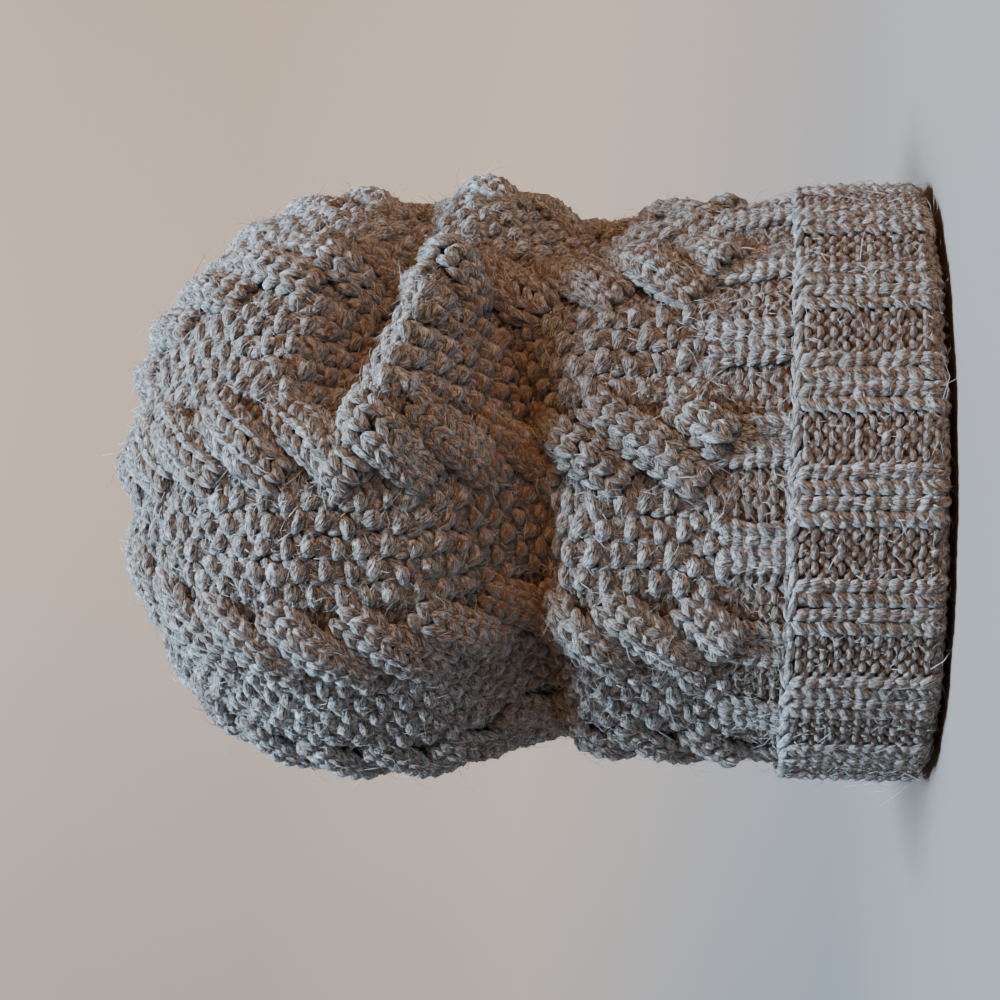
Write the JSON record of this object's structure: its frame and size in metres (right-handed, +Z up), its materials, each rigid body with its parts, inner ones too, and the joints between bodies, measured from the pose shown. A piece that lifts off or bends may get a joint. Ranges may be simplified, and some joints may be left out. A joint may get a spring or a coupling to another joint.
{
  "type": "cable knit beanie",
  "caption": "Soft hollow knitted hat with rope cables between moss stitch panels, slouch folds and a turned-up ribbed cuff, standing on the cuff.",
  "frame": {"origin": "on the surface that the hat stands on, in the middle of the ground that it covers", "axes": "+Z up from the cuff to the crown's top, -Y the front of the picture, +X to the right of that front"},
  "size_m": [0.1778, 0.1806, 0.236],
  "materials": {
    "crown_knit": "heathered grey brown wool, brushed and hairy",
    "cuff_knit": "heathered grey brown wool rib, brushed and hairy"
  },
  "bodies": {
    "root": {"crown": "crown_knit", "cuff": "cuff_knit"}
  },
  "joints": []
}
